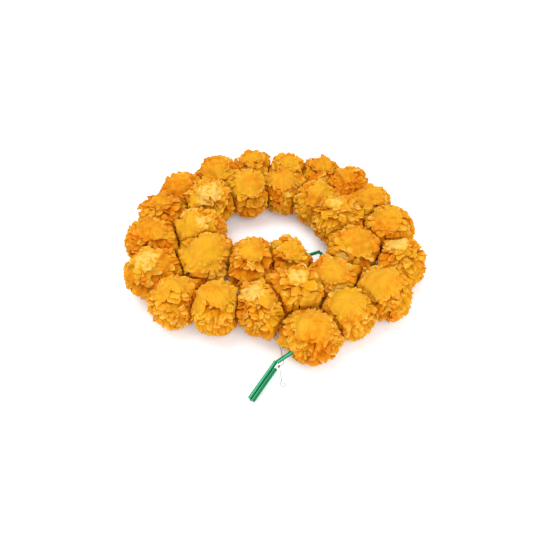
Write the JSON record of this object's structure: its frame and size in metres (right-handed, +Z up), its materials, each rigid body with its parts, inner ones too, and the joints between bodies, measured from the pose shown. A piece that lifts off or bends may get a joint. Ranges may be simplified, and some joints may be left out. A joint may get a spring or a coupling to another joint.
{
  "type": "artificial marigold garland",
  "caption": "Fabric marigold pompom garland strung on clear thread, coiled in a flat two-turn spiral, with a green straw-sleeved hanging loop at each end.",
  "frame": {"origin": "on the surface the garland lies on, under the middle of the coil's bounding box without the loose thread tails", "axes": "+Z up, away from the surface; -Y towards the outer hanging loop; +X to the right when seen from that side"},
  "size_m": [0.344, 0.3716, 0.0586],
  "materials": {
    "petal_fabric": "crinkled thin polyester petals, golden orange",
    "straw_plastic": "glossy green drinking-straw tube",
    "clear_thread": "clear nylon thread, glossy",
    "thread_knot": "clear nylon thread tied tight, greyish"
  },
  "bodies": {
    "root": {"blossom_01": "petal_fabric", "blossom_02": "petal_fabric", "blossom_03": "petal_fabric", "blossom_04": "petal_fabric", "blossom_05": "petal_fabric", "blossom_06": "petal_fabric", "blossom_07": "petal_fabric", "blossom_08": "petal_fabric", "blossom_09": "petal_fabric", "blossom_10": "petal_fabric", "blossom_11": "petal_fabric", "blossom_12": "petal_fabric", "blossom_13": "petal_fabric", "blossom_14": "petal_fabric", "blossom_15": "petal_fabric", "blossom_16": "petal_fabric", "blossom_17": "petal_fabric", "blossom_18": "petal_fabric", "blossom_19": "petal_fabric", "blossom_20": "petal_fabric", "blossom_21": "petal_fabric", "blossom_22": "petal_fabric", "blossom_23": "petal_fabric", "blossom_24": "petal_fabric", "blossom_25": "petal_fabric", "blossom_26": "petal_fabric", "blossom_27": "petal_fabric", "blossom_28": "petal_fabric", "blossom_29": "petal_fabric", "blossom_30": "petal_fabric", "inner_knot": "thread_knot", "inner_loop_straw_long": "straw_plastic", "inner_loop_straw_short": "straw_plastic", "inner_neck_straw": "straw_plastic", "outer_knot": "thread_knot", "outer_loop_straw_long": "straw_plastic", "outer_loop_straw_short": "straw_plastic", "outer_neck_straw": "straw_plastic", "tail_back": "clear_thread", "tail_front": "clear_thread", "thread": "clear_thread"}
  },
  "joints": []
}
